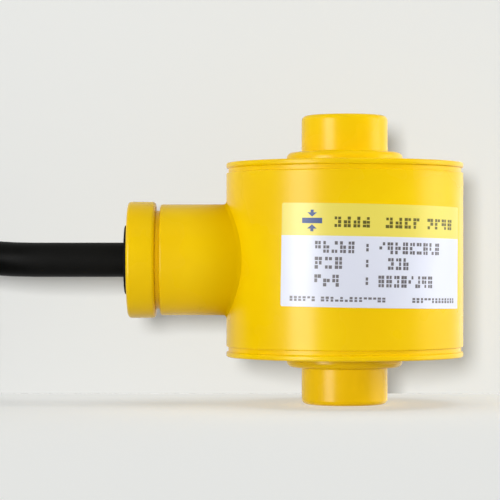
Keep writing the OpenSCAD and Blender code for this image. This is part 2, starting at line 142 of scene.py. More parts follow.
def group_draft(name: str, kind: str, inputs: dict[str, tuple], outputs: dict[str, str]) -> Draft:
    """Starts a node group with named sockets.

    Args:
        name: the group's name.
        kind: the tree type.
        inputs: input name to its socket type and default value.
        outputs: output name to its socket type.

    Returns:
        The draft of the new group.
    """
    tree = bpy.data.node_groups.new(name, kind)
    for label, (socket_type, value) in inputs.items():
        socket = tree.interface.new_socket(name=label, in_out="INPUT", socket_type=socket_type)
        if value is not None:
            socket.default_value = value
    for label, socket_type in outputs.items():
        tree.interface.new_socket(name=label, in_out="OUTPUT", socket_type=socket_type)
    return Draft(tree)


FLOAT = "NodeSocketFloat"


class SharedEffects:
    """Surface effects that several finishes use, each a node group that is built once."""

    def __init__(self) -> None:
        """Builds the groups."""
        self.peel = self._peel()
        self.drift = self._drift()

    def _peel(self) -> bpy.types.NodeTree:
        """Fine waviness of a coat or a moulded skin, given as a normal."""
        draft = group_draft(
            "Surface waviness", "ShaderNodeTree",
            {"Scale": (FLOAT, 900.0), "Grain scale": (FLOAT, 5000.0), "Grain share": (FLOAT, 0.2),
             "Strength": (FLOAT, 0.1), "Depth": (FLOAT, 0.0001)},
            {"Normal": "NodeSocketVector"})
        source = draft.add("NodeGroupInput").outputs
        place = draft.add("ShaderNodeTexCoord").outputs["Object"]
        wave = draft.add("ShaderNodeTexNoise", {"Vector": place, "Scale": source["Scale"], "Detail": 2.0})
        grain = draft.add("ShaderNodeTexNoise", {"Vector": place, "Scale": source["Grain scale"], "Detail": 1.0})
        share = draft.math("MULTIPLY", grain.outputs[0], source["Grain share"])
        height = draft.math("ADD", wave.outputs[0], share)
        bump = draft.add("ShaderNodeBump", {"Strength": source["Strength"], "Distance": source["Depth"],
                                            "Height": height})
        draft.add("NodeGroupOutput", {"Normal": bump.outputs[0]})
        return draft.tree

    def _drift(self) -> bpy.types.NodeTree:
        """Slow change over a surface, as a mask from 0 to 1."""
        draft = group_draft(
            "Surface drift", "ShaderNodeTree",
            {"Scale": (FLOAT, 60.0), "Detail": (FLOAT, 3.0), "Low": (FLOAT, 0.35), "High": (FLOAT, 0.65)},
            {"Mask": FLOAT})
        source = draft.add("NodeGroupInput").outputs
        place = draft.add("ShaderNodeTexCoord").outputs["Object"]
        noise = draft.add("ShaderNodeTexNoise", {"Vector": place, "Scale": source["Scale"],
                                                 "Detail": source["Detail"], "Roughness": 0.55})
        ranged = draft.add("ShaderNodeMapRange", {"Value": noise.outputs[0], "From Min": source["Low"],
                                                  "From Max": source["High"]}, interpolation_type="SMOOTHSTEP")
        draft.add("NodeGroupOutput", {"Mask": ranged.outputs[0]})
        return draft.tree


@dataclass(frozen=True)
class Finish:
    """A coloured surface with slow drift in tone and sheen and a fine waviness."""

    slot: str
    colour: Colour
    worn: Colour
    roughness: Pair = (0.3, 0.4)
    metallic: float = 0.0
    coat: float = 0.0
    coat_roughness: float = 0.1
    specular: float = 0.5
    drift_scale: float = 60.0
    wave_scale: float = 900.0
    grain_scale: float = 5000.0
    grain_share: float = 0.2
    wave_strength: float = 0.1
    wave_depth: float = 0.0001

    def material(self, effects: SharedEffects) -> bpy.types.Material:
        """Builds the finish as a material.

        Args:
            effects: the shared node groups.

        Returns:
            The new material.
        """
        made = bpy.data.materials.new(self.slot)
        made.use_nodes = True
        draft = Draft(made.node_tree)
        shader = draft.tree.nodes["Principled BSDF"]
        drift = draft.add("ShaderNodeGroup", node_tree=effects.drift)
        drift.inputs["Scale"].default_value = self.drift_scale
        mask = drift.outputs["Mask"]
        colour = self.tint(draft, draft.mix(mask, (*self.colour, 1), (*self.worn, 1)))
        rough = draft.add("ShaderNodeMapRange", {"Value": mask, "To Min": self.roughness[0],
                                                 "To Max": self.roughness[1]}).outputs[0]
        peel = draft.add("ShaderNodeGroup", node_tree=effects.peel)
        for name, value in (("Scale", self.wave_scale), ("Grain scale", self.grain_scale),
                            ("Grain share", self.grain_share), ("Strength", self.wave_strength),
                            ("Depth", self.wave_depth)):
            peel.inputs[name].default_value = value
        draft.tree.links.new(colour, shader.inputs["Base Color"])
        draft.tree.links.new(rough, shader.inputs["Roughness"])
        draft.tree.links.new(peel.outputs["Normal"], shader.inputs["Normal"])
        shader.inputs["Metallic"].default_value = self.metallic
        shader.inputs["Coat Weight"].default_value = self.coat
        shader.inputs["Coat Roughness"].default_value = self.coat_roughness
        shader.inputs["Specular IOR Level"].default_value = self.specular
        self.extend(draft, shader)
        return made

    def tint(self, draft: Draft, colour: bpy.types.NodeSocket) -> bpy.types.NodeSocket:
        """Lets a finish change its colour over the surface; the plain one leaves it."""
        return colour

    def extend(self, draft: Draft, shader: bpy.types.Node) -> None:
        """Lets a finish add to its shader; the plain one adds nothing."""


@dataclass(frozen=True)
class ColumnFinish(Finish):
    """Enamel outside the lids and bare turned steel between them."""

    low: float = 0.0
    high: float = 0.0
    steel: Colour = (0.55, 0.55, 0.56)

    def inside(self, draft: Draft) -> bpy.types.NodeSocket:
        """Mask that is 1 between the two lids."""
        place = draft.add("ShaderNodeTexCoord").outputs["Object"]
        height = draft.add("ShaderNodeSeparateXYZ", {0: place}).outputs[2]
        above = draft.math("GREATER_THAN", height, self.low)
        below = draft.math("LESS_THAN", height, self.high)
        return draft.math("MULTIPLY", above, below)

    def tint(self, draft: Draft, colour: bpy.types.NodeSocket) -> bpy.types.NodeSocket:
        """Bare steel between the lids."""
        return draft.mix(self.inside(draft), colour, (*self.steel, 1))

    def extend(self, draft: Draft, shader: bpy.types.Node) -> None:
        """Metal between the lids."""
        draft.tree.links.new(self.inside(draft), shader.inputs["Metallic"])


@dataclass(frozen=True)
class SeamShadeFinish(Finish):
    """Enamel whose colour carries painted shade, deeper in tone towards its seam with the round housing, and which
    is duller there.
    """

    # colour of the painted shade in the corner at the seam
    seam: Colour = (0.7, 0.4, 0.0)
    wall_r: float = 27.5
    reach: float = 12.0

    def away(self, draft: Draft) -> bpy.types.NodeSocket:
        """Mask that goes from 0 at the housing's wall to 1 at the reach."""
        place = draft.add("ShaderNodeTexCoord").outputs["Object"]
        flat = draft.add("ShaderNodeVectorMath", {0: place, 1: (1.0, 1.0, 0.0)}, operation="MULTIPLY")
        radius = draft.add("ShaderNodeVectorMath", {0: flat.outputs[0]}, operation="LENGTH")
        return draft.add("ShaderNodeMapRange", {
            "Value": radius.outputs["Value"], "From Min": self.wall_r * MM,
            "From Max": (self.wall_r + self.reach) * MM}, interpolation_type="SMOOTHSTEP").outputs[0]

    def tint(self, draft: Draft, colour: bpy.types.NodeSocket) -> bpy.types.NodeSocket:
        """Painted shade: a deeper tone towards the seam."""
        return draft.mix(self.away(draft), (*self.seam, 1), colour)

    def extend(self, draft: Draft, shader: bpy.types.Node) -> None:
        """Less shine at the seam."""
        shine = draft.math("MULTIPLY", self.away(draft), self.specular)
        draft.tree.links.new(shine, shader.inputs["Specular IOR Level"])


@dataclass(frozen=True)
class LabelFinish(Finish):
    """White film with a tinted band along its top, which leans with the label."""

    band: Colour = (0.9, 0.85, 0.4)
    band_from: float = 0.0
    upward: Point = (0.0, 0.0, 1.0)

    def tint(self, draft: Draft, colour: bpy.types.NodeSocket) -> bpy.types.NodeSocket:
        """Band colour above the band's lower edge."""
        place = draft.add("ShaderNodeTexCoord").outputs["Object"]
        height = draft.add("ShaderNodeVectorMath", {0: place, 1: self.upward}, operation="DOT_PRODUCT")
        above = draft.math("GREATER_THAN", height.outputs["Value"], self.band_from)
        return draft.mix(above, colour, (*self.band, 1))


@dataclass(frozen=True)
class StrapFinish(Finish):
    """Dark woven strap with a fine crosswise weave."""

    thread: float = 0.45

    def extend(self, draft: Draft, shader: bpy.types.Node) -> None:
        """Adds the weave as a bump over crossed waves."""
        place = draft.add("ShaderNodeTexCoord").outputs["Object"]
        scale = 1 / (self.thread * MM)
        across = draft.add("ShaderNodeTexWave", {"Vector": place, "Scale": scale / 3}, bands_direction="X")
        along = draft.add("ShaderNodeTexWave", {"Vector": place, "Scale": scale / 3}, bands_direction="Z")
        height = draft.math("MULTIPLY", across.outputs["Fac"], along.outputs["Fac"])
        bump = draft.add("ShaderNodeBump", {"Strength": 0.6, "Distance": 0.15 * MM, "Height": height})
        draft.tree.links.new(bump.outputs[0], shader.inputs["Normal"])


class Bench:
    """Puts finished pieces into the scene, dresses them and reports them."""

    def __init__(self, finishes: dict[str, bpy.types.Material]) -> None:
        """Keeps the materials by slot."""
        self.finishes = finishes

    def add(self, piece: bpy.types.Object, slot: str, replaces: tuple[str, ...] = (),
            look: str | None = None) -> bpy.types.Object:
        """Takes a finished piece in.

        Args:
            piece: the object, with its place in its mesh.
            slot: the material slot that it takes its finish from.
            replaces: the solids that it stands for.
            look: the finish, where it isn't the one that is named after the slot.

        Returns:
            The same object.
        """
        if piece.name not in bpy.context.scene.collection.objects:
            bpy.context.scene.collection.objects.link(piece)
        piece.data.materials.clear()
        piece.data.materials.append(self.finishes[look or slot])
        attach(piece, BODY)
        if replaces:
            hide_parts(*replaces)
        log.info("%s: finish %s, stands for %s", piece.name, look or slot, ", ".join(replaces) or "nothing")
        return piece

    def dress(self, node: str, slot: str) -> None:
        """Gives a carried-over solid its finish."""
        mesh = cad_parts[node].data
        mesh.materials.clear()
        mesh.materials.append(self.finishes[slot])
        log.info("%s: solid kept, finish %s", node, slot)


def mesh_piece(name: str, work: bmesh.types.BMesh, sharp: float = 35.0) -> bpy.types.Object:
    """Closes a mesh under construction into an object.

    Args:
        name: the object's name.
        work: the mesh, in metres; it is freed.
        sharp: edges that turn more than this many degrees stay sharp.

    Returns:
        The object, not yet in the scene.
    """
    bmesh.ops.remove_doubles(work, verts=work.verts[:], dist=1e-7)
    bmesh.ops.recalc_face_normals(work, faces=work.faces[:])
    mesh = bpy.data.meshes.new(name)
    work.to_mesh(mesh)
    work.free()
    mesh.shade_smooth()
    mesh.set_sharp_from_angle(angle=math.radians(sharp))
    return bpy.data.objects.new(name, mesh)


def skin(rows: list[list[Vector]], closed_rows: bool, closed_ring: bool = True) -> bmesh.types.BMesh:
    """Joins rows of points into a skin of quads.

    Args:
        rows: the rows, all of one length.
        closed_rows: whether the last row joins the first.
        closed_ring: whether each row's last point joins its first.

    Returns:
        The mesh.
    """
    work = bmesh.new()
    grid = [[work.verts.new(p) for p in row] for row in rows]
    ring = len(rows[0])
    for i in range(len(rows) if closed_rows else len(rows) - 1):
        low, high = grid[i], grid[(i + 1) % len(rows)]
        for k in range(ring if closed_ring else ring - 1):
            m = (k + 1) % ring
            work.faces.new((low[k], low[m], high[m], high[k]))
    return work


class Axis(Enum):
    """Axis that a turned piece is turned about."""

    COLUMN = "column"
    PORT = "port"


@dataclass(frozen=True)
class Turning:
    """Makes turned pieces from half outlines in millimetres."""

    port_z: float
    steps: int = 160

    @property
    def angles(self) -> list[float]:
        """Angles of the turn's steps."""
        return [2 * math.pi * k / self.steps for k in range(self.steps)]

    def point(self, axis: Axis, radius: float, along: float, angle: float) -> Vector:
        """Place of a point of the outline at an angle of the turn."""
        across, up = radius * math.sin(angle), radius * math.cos(angle)
        if axis is Axis.COLUMN:
            return metres((up, across, along))
        return metres((-along, across, self.port_z + up))

    def make(self, name: str, axis: Axis, outline: list[Pair], ring: bool,
             sharp: float = 35.0) -> bpy.types.Object:
        """Turns an outline of radius and distance.

        Args:
            name: the object's name.
            axis: the axis to turn about.
            outline: the half outline.
            ring: whether the outline closes on itself; otherwise its ends lie on the axis.
            sharp: edges that turn more than this many degrees stay sharp.

        Returns:
            The object.
        """
        rows = [[self.point(axis, r, u, a) for a in self.angles] for r, u in outline]
        work = skin(rows, closed_rows=ring)
        bmesh.ops.dissolve_degenerate(work, edges=work.edges[:], dist=1e-8)
        return mesh_piece(name, work, sharp)


@dataclass(frozen=True)
class Layout:
    """Main sizes of the load cell in millimetres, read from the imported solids."""

    top: float
    mid: float
    tube_low: float
    tube_high: float
    lid_low: float
    lid_high: float
    housing_r: float
    cap_in: float
    cap_out: float
    cap_r: float
    seal_out: float
    label_low: float
    label_high: float

    @classmethod
    def read(cls) -> "Layout":
        """Reads the sizes from the solids' boxes."""
        def corner(node: str, end: int, axis: int) -> float:
            """One coordinate of a solid's box in millimetres."""
            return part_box(node)[end][axis] / MM
        top = corner("sensing_column", 1, 2)
        return cls(
            top=top, mid=top / 2,
            tube_low=corner("housing_tube", 0, 2), tube_high=corner("housing_tube", 1, 2),
            lid_low=corner("lower_diaphragm", 0, 2), lid_high=corner("upper_diaphragm", 1, 2),
            housing_r=corner("housing_tube", 1, 0),
            cap_in=-corner("gland_cap", 1, 0), cap_out=-corner("gland_cap", 0, 0),
            cap_r=corner("gland_cap", 1, 1), seal_out=-corner("cable_seal", 0, 0),
            label_low=corner("label", 0, 2), label_high=corner("label", 1, 2))


@dataclass
class Canister:
    """The column, the housing tube and the two lids, turned with their rounded and painted edges."""

    layout: Layout
    turning: Turning
    boss_r: float = 10.0
    boss_h: float = 8.6
    boss_edge: float = 1.3
    hub_r: float = 13.5
    hub_len: float = 6.0
    collar_edge: float = 1.4
    neck_r: float = 8.0
    flat_half: float = 6.0
    fillet: float = 4.0
    flat_margin: float = 1.0
    wall: float = 3.0
    paint_fillet: float = 0.35
    tube_edge: float = 0.35
    lip: float = 1.3
    lip_edge: float = 0.4
    groove: float = 0.5
    web: float = 0.9
    ring_w: float = 2.0
    spigot: float = 2.0
    spigot_clear: float = 0.05

    def column_end(self) -> list[Pair]:
        """Half outline of the column's lower end, from the axis to the neck."""
        q, h, c = self.paint_fillet, self.boss_h, self.collar_edge
        hub_z = self.layout.lid_low + self.hub_len
        return (
            [(0.0, 0.0)]
            + arc((self.boss_r - self.boss_edge, self.boss_edge), self.boss_edge, -90, 0, 10)
            + arc((self.boss_r + q, h - q), q, 180, 90, 5)
            + arc((self.hub_r - c, h + c), c, -90, 0, 10)
            + [(self.hub_r, hub_z)]
            + arc((self.neck_r + self.fillet, hub_z + self.fillet), self.fillet, -90, -180, 10)
        )

    def mirrored(self, outline: list[Pair]) -> list[Pair]:
        """The same outline turned over about mid-height, in reverse order."""
        return [(r, self.layout.top - z) for r, z in reversed(outline)]

    def column(self) -> bpy.types.Object:
        """Turned column with four milled flats on its neck."""
        low = self.column_end()
        start = low[-1][1]
        flats = (start + self.flat_margin, self.layout.top - start - self.flat_margin)
        rows = [(self.neck_r, start + 0.01)]
        rows += [(self.neck_r, flats[0]), (0.0, flats[0]), (0.0, flats[1]), (self.neck_r, flats[1])]
        outline = low + rows + self.mirrored(low)

        def radius(r: float, z: float, angle: float) -> float:
            """Outline's radius, or the milled section's where the flats leave the outline's radius at 0."""
            if r or not flats[0] <= z <= flats[1]:
                return r
            nearest = max(abs(math.cos(angle)), abs(math.sin(angle)))
            return min(self.neck_r, self.flat_half / nearest)
        points = [[self.turning.point(Axis.COLUMN, radius(r, z, a), z, a) for a in self.turning.angles]
                  for r, z in outline]
        return mesh_piece("painted_column", skin(points, closed_rows=False))

    def tube(self) -> bpy.types.Object:
        """Housing tube with rounded outer edges."""
        e, r = self.tube_edge, self.layout.housing_r
        low, high = self.layout.tube_low, self.layout.tube_high
        outline = (
            [(r - self.wall, low)] + arc((r - e, low + e), e, -90, 0, 6)
            + arc((r - e, high - e), e, 0, 90, 6) + [(r - self.wall, high)]
        )
        return self.turning.make("housing_wall", Axis.COLUMN, outline, ring=True)

    def lid_outline(self) -> list[Pair]:
        """Half outline of the lower lid, from its outer face inwards."""
        z, e, r = self.layout.lid_low, self.lip_edge, self.layout.housing_r
        seat = self.layout.tube_low
        inner = r - self.wall - self.spigot_clear
        q = self.paint_fillet
        return (
            arc((self.hub_r + q, z - q), q, 180, 90, 5)
            + arc((r - e, z + e), e, -90, 0, 6)
            + arc((r - e, z + self.lip - e), e, 0, 90, 6)
            + [(r - self.groove, z + self.lip + 0.1), (r - self.groove, seat), (inner, seat),
               (inner, seat + self.spigot), (inner - self.ring_w, seat + self.spigot),
               (inner - self.ring_w, z + self.web), (self.hub_r + self.ring_w, z + self.web),
               (self.hub_r + self.ring_w, seat + self.spigot), (self.hub_r, seat + self.spigot)]
        )

    def build(self, bench: Bench) -> None:
        """Makes the pieces and hands them to the bench."""
        bench.add(self.column(), "yellow_enamel", ("sensing_column",), look="column_enamel")
        bench.add(self.tube(), "yellow_enamel", ("housing_tube",))
        lid = self.lid_outline()
        make = self.turning.make
        bench.add(make("lower_lid", Axis.COLUMN, lid, ring=True), "yellow_enamel", ("lower_diaphragm",))
        bench.add(make("upper_lid", Axis.COLUMN, self.mirrored(lid), ring=True), "yellow_enamel",
                  ("upper_diaphragm",))


@dataclass
class Gland:
    """The port tube with its weld fillet, the gland cap and the rubber seal."""

    layout: Layout
    turning: Turning
    port_r: float = 12.9
    port_reach: float = 42.8
    port_edge: float = 0.55
    weld: float = 0.7
    chamber_r: float = 7.5
    thread_r: float = 10.0
    thread_depth: float = 4.9
    ring_seat_r: float = 11.3
    ring_seat_depth: float = 1.3
    cap_gap: float = 1.0
    neck_r: float = 11.4
    cap_edge: float = 0.85
    spigot_r: float = 9.92
    seal_bore_r: float = 8.55
    mouth_r: float = 8.05
    ledge: float = 2.6
    seal_r: float = 8.5
    nose_r: float = 8.0
    paint_build: float = 0.5
    cable_r: float = 4.0

    def saddle(self, radius: float, angle: float) -> float:
        """Distance of the housing's surface along the port at a radius and an angle round the port."""
        across = radius * math.sin(angle)
        return math.sqrt(self.layout.housing_r ** 2 - across ** 2)

    def port(self) -> bpy.types.Object:
        """Port tube that flares into the housing through a hollow weld fillet."""
        e, end, shoulder = self.port_edge, self.port_reach, self.port_reach - self.thread_depth
        sunk = 0.4
        bore = [(self.chamber_r, 0.0, -sunk), (self.chamber_r, shoulder, None), (self.thread_r, shoulder, None),
                (self.thread_r, end - self.ring_seat_depth, None),
                (self.ring_seat_r, end - self.ring_seat_depth, None), (self.ring_seat_r, end, None)]
        rim = [(r, u, None) for r, u in arc((self.port_r - e, end - e), e, 90, 0, 6)]
        w = self.weld
        fillet = [(self.port_r + w - w * math.cos(a), 0.0, w - w * math.sin(a))
                  for a in [math.radians(90 * i / 9) for i in range(10)]]
        skirt = [(self.port_r + w, 0.0, -sunk)]
        rows = []
        for radius, along, proud in bore + rim + fillet + skirt:
            rows.append([self.turning.point(
                Axis.PORT, radius, along if proud is None else self.saddle(radius, a) + proud, a)
                for a in self.turning.angles])
        return mesh_piece("port_body", skin(rows, closed_rows=True))

    def cap(self) -> bpy.types.Object:
        """Gland cap with a round-edged flange, a narrower neck and a threaded spigot."""
        e, r, out = self.cap_edge, self.layout.cap_r, self.layout.cap_out + self.paint_build
        start = self.port_reach + self.cap_gap
        mouth_edge = 0.3
        outline = (
            [(self.seal_bore_r, self.layout.cap_in), (self.spigot_r, self.layout.cap_in),
             (self.spigot_r, self.port_reach), (self.neck_r, self.port_reach), (self.neck_r, start)]
            + arc((r - e, start + e), e, -90, 0, 8) + arc((r - e, out - e), e, 0, 90, 8)
            + arc((self.mouth_r + mouth_edge, out - mouth_edge), mouth_edge, 90, 180, 4)
            + [(self.mouth_r, out - self.ledge), (self.seal_bore_r, out - self.ledge)]
        )
        return self.turning.make("gland_nut", Axis.PORT, outline, ring=True)

    def seal(self) -> bpy.types.Object:
        """Rubber bush with a soft-edged nose."""
        low = -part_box("cable_seal")[1][0] / MM
        ledge, out, e = self.layout.cap_out - self.ledge, self.layout.seal_out + self.paint_build, 0.3
        outline = (
            [(self.cable_r, low), (self.seal_r, low), (self.seal_r, ledge), (self.nose_r, ledge)]
            + arc((self.nose_r - e, out - e), e, 0, 90, 5) + [(self.cable_r, out)]
        )
        return self.turning.make("rubber_bush", Axis.PORT, outline, ring=True)

    def build(self, bench: Bench) -> None:
        """Makes the pieces and hands them to the bench."""
        bench.add(self.port(), "yellow_enamel", ("port_tube",), look="port_enamel_painted_shade")
        bench.add(self.cap(), "yellow_enamel", ("gland_cap",))
        bench.add(self.seal(), "black_rubber", ("cable_seal",))


@dataclass
class Cable:
    """The free cable: its lead, its hank in two columns of turns, its tail and its stripped end."""

    diameter: float = 8.0
    length: float = 3000.0
    near_x: float = -124.0
    run: float = 70.0
    centre_y: float = -8.5
    outer_r: float = 32.0
    inner_r: float = 24.0
    levels: int = 5
    lead: list[Point] = field(default_factory=lambda: [
        (-50.6, 0, 33.5), (-55, 0, 33.5), (-59, 0, 33.5), (-63, 0, 33.5), (-67, 0, 33.5),
        (-72, 0.3, 33.5), (-77, 1.2, 33.6), (-82, 2.9, 33.9), (-87, 5.3, 34.4), (-92, 8.6, 34.9),
        (-96, 12.1, 35.4), (-100, 15.4, 35.8), (-105, 18.6, 36), (-110, 21, 36), (-115, 22.5, 36),
        (-119, 23.2, 36), (-124, 23.5, 36)])
    tail: list[Point] = field(default_factory=lambda: [
        (-100, -8.5, 44), (-100.8, -2, 44), (-103, 4.5, 44), (-107, 10.5, 44), (-112, 16, 44),
        (-117, 20.5, 44), (-122, 23, 44), (-128, 23.5, 44.2), (-134, 23.5, 44.5), (-140, 23.5, 44.5),
        (-148, 23.5, 44.5)])

    def station(self, s: float, radius: float) -> Pair:
        """Place on a turn: 0 to 1 back run, 1 to 2 far end, 2 to 3 front run, 3 to 4 near end."""
        part, t = int(s % 4), s % 1
        far_x = self.near_x - self.run
        if part == 0:
            return self.near_x - self.run * t, self.centre_y + radius
        if part == 2:
            return far_x + self.run * t, self.centre_y - radius
        angle = math.radians(90 + 180 * t + (180 if part == 3 else 0))
        middle = far_x if part == 1 else self.near_x
        return middle + radius * math.cos(angle), self.centre_y + radius * math.sin(angle)

    def radius_at(self, s: float) -> float:
        """Radius of the round ends: the last outer turn moves inwards round the far end."""
        inwards = 4 * (self.levels - 1) + 1
        return self.outer_r + (self.inner_r - self.outer_r) * ease(s - inwards)

    def height_at(self, s: float) -> float:
        """Height of the cable's middle: outer turns drop on the front run, inner ones rise on the back run."""
        d = self.diameter
        bottom = 4 * (self.levels - 1)
        if s <= bottom + 2:
            drops = sum(ease(s - (4 * n + 2)) for n in range(self.levels - 1))
            return d * (self.levels - 0.5 - drops)
        rises = sum(ease(s - (bottom + 4 * n)) for n in range(1, self.levels))
        lift = ease(s - (self.end_station() - 1))
        return d * (0.5 + rises + lift)

    def end_station(self) -> float:
        """Where the last turn meets the tail, half-way round the near end."""
        return 4 * (2 * self.levels - 2) + 3.5

    def path(self) -> list[Vector]:
        """Centre line of the whole cable, in metres."""
        points = [metres(p) for p in self.lead[:-1]]
        s, end = 0.0, self.end_station()
        while s < end - 1e-6:
            x, y = self.station(s, self.radius_at(s))
            points.append(metres((x, y, self.height_at(s))))
            s += 1 / 6 if int(s % 4) % 2 == 0 else 1 / 16
        return points + [metres(p) for p in self.tail]

    def tube(self, name: str, points: list[Vector], diameter: float, sides: int) -> bpy.types.Object:
        """Round tube along points, as a curve of one open spline.

        Args:
            name: the object's name.
            points: the centre line in metres.
            diameter: the tube's diameter in millimetres.
            sides: sides of the tube's section, a multiple of four.

        Returns:
            The curve object.
        """
        curve = bpy.data.curves.new(name, "CURVE")
        curve.dimensions = "3D"
        spline = curve.splines.new("POLY")
        spline.points.add(len(points) - 1)
        for knot, p in zip(spline.points, points):
            knot.co = (*p, 1.0)
        curve.bevel_depth = diameter / 2 * MM
        curve.bevel_resolution = sides // 4
        curve.use_fill_caps = True
        spline.use_smooth = True
        return bpy.data.objects.new(name, curve)

    def build(self, bench: Bench) -> bpy.types.Object:
        """Makes the cable itself and hands it to the bench."""
        piece = self.tube("signal_cable", self.path(), self.diameter, 32)
        return bench.add(piece, "cable_jacket", ("cable_lead", "cable_hank", "cable_tail"))


@dataclass
class CableEnd:
    """What is on the cable: the strap round its hank and its stripped, tinned end."""

    cable: Cable
    sleeve_r: float = 4.5
    sleeve_len: float = 16.0
    core_d: float = 1.2
    strand_d: float = 0.9
    tip_len: float = 6.0
    core_circle: float = 1.5
    hank_h: float = 40.0
    fan_len: float = 34.0
    drain_fan: float = -2.8
    tie_w: float = 10.0
    tie_t: float = 0.8
    tie_corner: float = 3.2
    fan: tuple[float, ...] = (-9.5, -6.0, 0.6, 3.4)
    colours: tuple[str, ...] = ("red", "black", "green", "white")

    def strand(self, start: Pair, to: float, mid_h: float, diameter: float) -> list[Point]:
        """Centre line of a strand from inside the sleeve down to the hank's top."""
        x, y, z = self.cable.tail[-1]
        out, low = x - self.sleeve_len / 2, self.hank_h + diameter / 2
        return [
            (x, y + start[0], z + start[1]), (out - 3, y + start[0], z + start[1]),
            (out - 10, y + 0.6 * start[0] + 0.4 * to, low + mid_h),
            (out - 17, y + 0.2 * start[0] + 0.8 * to, low),
            (out - 25, y + to, low), (out - self.fan_len, y + to, low)]

    def smooth(self, points: list[Point], steps: int = 6) -> list[Vector]:
        """Rounds a given line with a spline through its points."""
        line = [Vector(p) for p in points]
        padded = [2 * line[0] - line[1]] + line + [2 * line[-1] - line[-2]]
        rounded = []
        for a, b, c, d in zip(padded, padded[1:], padded[2:], padded[3:]):
            for i in range(steps):
                t = i / steps
                rounded.append(0.5 * (2 * b + (c - a) * t + (2 * a - 5 * b + 4 * c - d) * t * t
                                      + (3 * b - a - 3 * c + d) * t ** 3))
        return [p * MM for p in rounded + [line[-1]]]

    def sleeve(self) -> bpy.types.Object:
        """Shrink sleeve drawn in at its bare end."""
        x, y, z = self.cable.tail[-1]
        start, end = x + self.sleeve_len / 2, x - self.sleeve_len / 2
        r, jacket, lip = self.sleeve_r, self.cable.diameter / 2, 0.25
        outline = (
            [(jacket, start), (r - lip, start), (r, start - 2 * lip), (r, x - 0.5), (r - 0.25, x - 2.5)]
            + [(r - 0.9, x - 5), (r - 1.0, end + lip), (r - 1.2, end), (r - 1.5, end), (r - 1.5, x - 3)]
            + [(jacket, x - 1)]
        )
        steps = 48
        angles = [2 * math.pi * k / steps for k in range(steps)]
        rows = [[metres((u, y + radius * math.sin(a), z + radius * math.cos(a))) for a in angles]
                for radius, u in outline]
        return mesh_piece("shrink_sleeve", skin(rows, closed_rows=True), sharp=60)

    def strap(self) -> bpy.types.Object:
        """Strap round the front run of the hank, with its end pressed down on top."""
        cable = self.cable
        t, c = self.tie_t, self.tie_corner
        grow = cable.diameter / 2
        low_y, high_y = cable.centre_y - cable.outer_r - grow, cable.centre_y - cable.inner_r + grow
        x = cable.near_x - cable.run / 2
        inner, outer = [], []
        for offset, line in ((0.0, inner), (t, outer)):
            for (cy, cz), a in (((high_y - c, t + c), -90), ((high_y - c, self.hank_h - c), 0),
                                ((low_y + c, self.hank_h - c), 90), ((low_y + c, t + c), 180)):
                line += arc((cy, cz), c + offset, a, a + 90, 8)
        half, soft = self.tie_w / 2, 0.25
        sections = [(x - half, 0.5), (x - half + soft, 0.0), (x + half - soft, 0.0), (x + half, 0.5)]

        def loop(u: float, share: float) -> list[Vector]:
            """Ring at a share of the way from the strap's inner face to its outer one."""
            return [metres((u, a[0] + (b[0] - a[0]) * share, a[1] + (b[1] - a[1]) * share))
                    for a, b in zip(inner, outer)]
        loops = [loop(u, 1 - pinch / 2) for u, pinch in sections]
        loops += [loop(u, pinch / 2) for u, pinch in reversed(sections)]
        work = skin(loops, closed_rows=True)
        top = self.hank_h + t
        flap = [metres(p) for p in ((x - half, low_y + 2, top), (x + half, low_y + 2, top),
                                    (x + half, high_y - 2, top), (x - half, high_y - 2, top))]
        lifted = [p + metres((0, 0, t)) for p in flap]
        base = [work.verts.new(p) for p in flap] + [work.verts.new(p) for p in lifted]
        for corners in ((0, 1, 2, 3), (4, 5, 6, 7), (0, 1, 5, 4), (1, 2, 6, 5), (2, 3, 7, 6), (3, 0, 4, 7)):
            work.faces.new([base[i] for i in corners])
        return mesh_piece("hank_strap", work)

    def build(self, bench: Bench) -> list[bpy.types.Object]:
        """Makes the pieces, hands them to the bench and gives them back."""
        pieces = [bench.add(self.sleeve(), "shrink_sleeve", ("end_sleeve",)),
                  bench.add(self.strap(), "tie_strap", ("hank_tie",))]
        for k, colour in enumerate(self.colours):
            side = 1 if self.fan[k] > self.drain_fan else -1
            up, mid_h = (1, 2.6) if k % 2 else (-1, 1.0)
            start = (side * self.core_circle, up * self.core_circle)
            line = self.strand(start, self.fan[k], mid_h, self.core_d)
            last = Vector(line[-1])
            tip = [line[-1], tuple(last + self.tip_len * (last - Vector(line[-2])).normalized())]
            core = self.cable.tube(f"{colour}_core", self.smooth(line), self.core_d, 16)
            strand = self.cable.tube(f"{colour}_tip", [metres(p) for p in tip], self.strand_d, 12)
            pieces.append(bench.add(core, f"core_{colour}", (f"end_core_{colour}",)))
            pieces.append(bench.add(strand, "tinned_copper", ("tinned_ends",)))
        drain = self.strand((0.0, 0.0), self.drain_fan, 1.8, self.strand_d)
        pieces.append(bench.add(self.cable.tube("drain_strand", self.smooth(drain), self.strand_d, 12),
                                "tinned_copper", ("end_drain",)))
        return pieces


